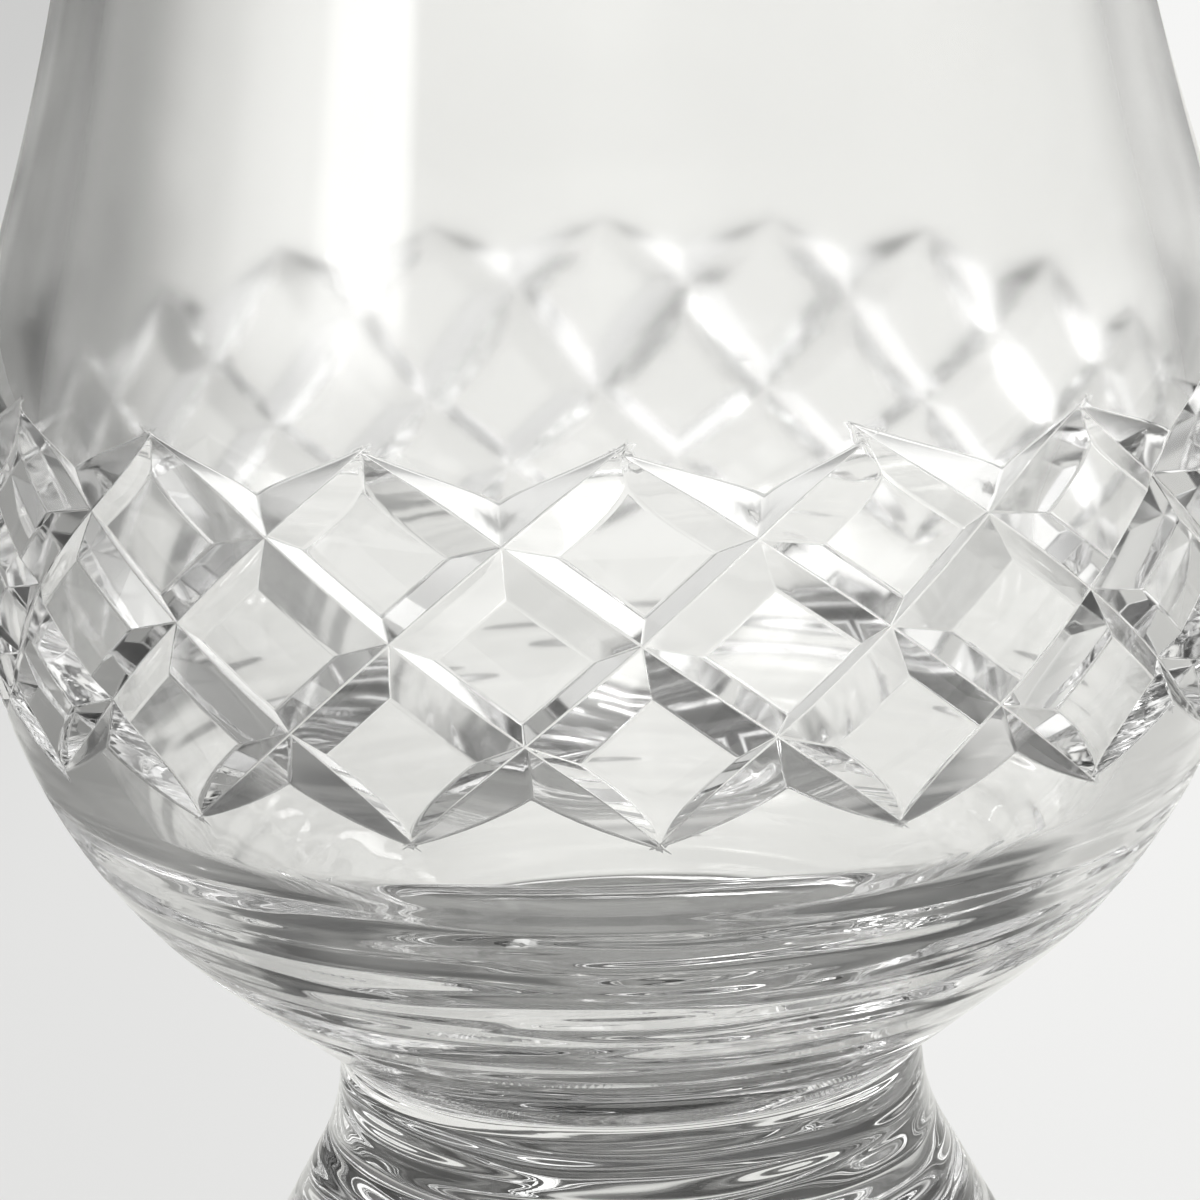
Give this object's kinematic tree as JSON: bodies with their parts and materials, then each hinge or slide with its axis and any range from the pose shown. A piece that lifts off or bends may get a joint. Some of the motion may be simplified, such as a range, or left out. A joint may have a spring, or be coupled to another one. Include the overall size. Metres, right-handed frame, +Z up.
{
  "type": "whisky nosing glass",
  "caption": "Cut crystal tulip nosing glass: narrow chimney, round belly with a diamond cut band, pinched waist and heavy solid foot.",
  "frame": {"origin": "centre of the ring that the foot stands on, on the table surface", "axes": "+Z up along the axis of the glass, from the foot to the mouth; the front of the picture faces -Y"},
  "size_m": [0.0652, 0.0652, 0.115],
  "materials": {
    "bowl_crystal": "clear fire polished crystal with wheel cut and acid polished V grooves",
    "foot_crystal": "clear pressed crystal, fire polished, ground and polished underneath"
  },
  "bodies": {
    "root": {"bowl": "bowl_crystal", "foot": "foot_crystal"}
  },
  "joints": []
}
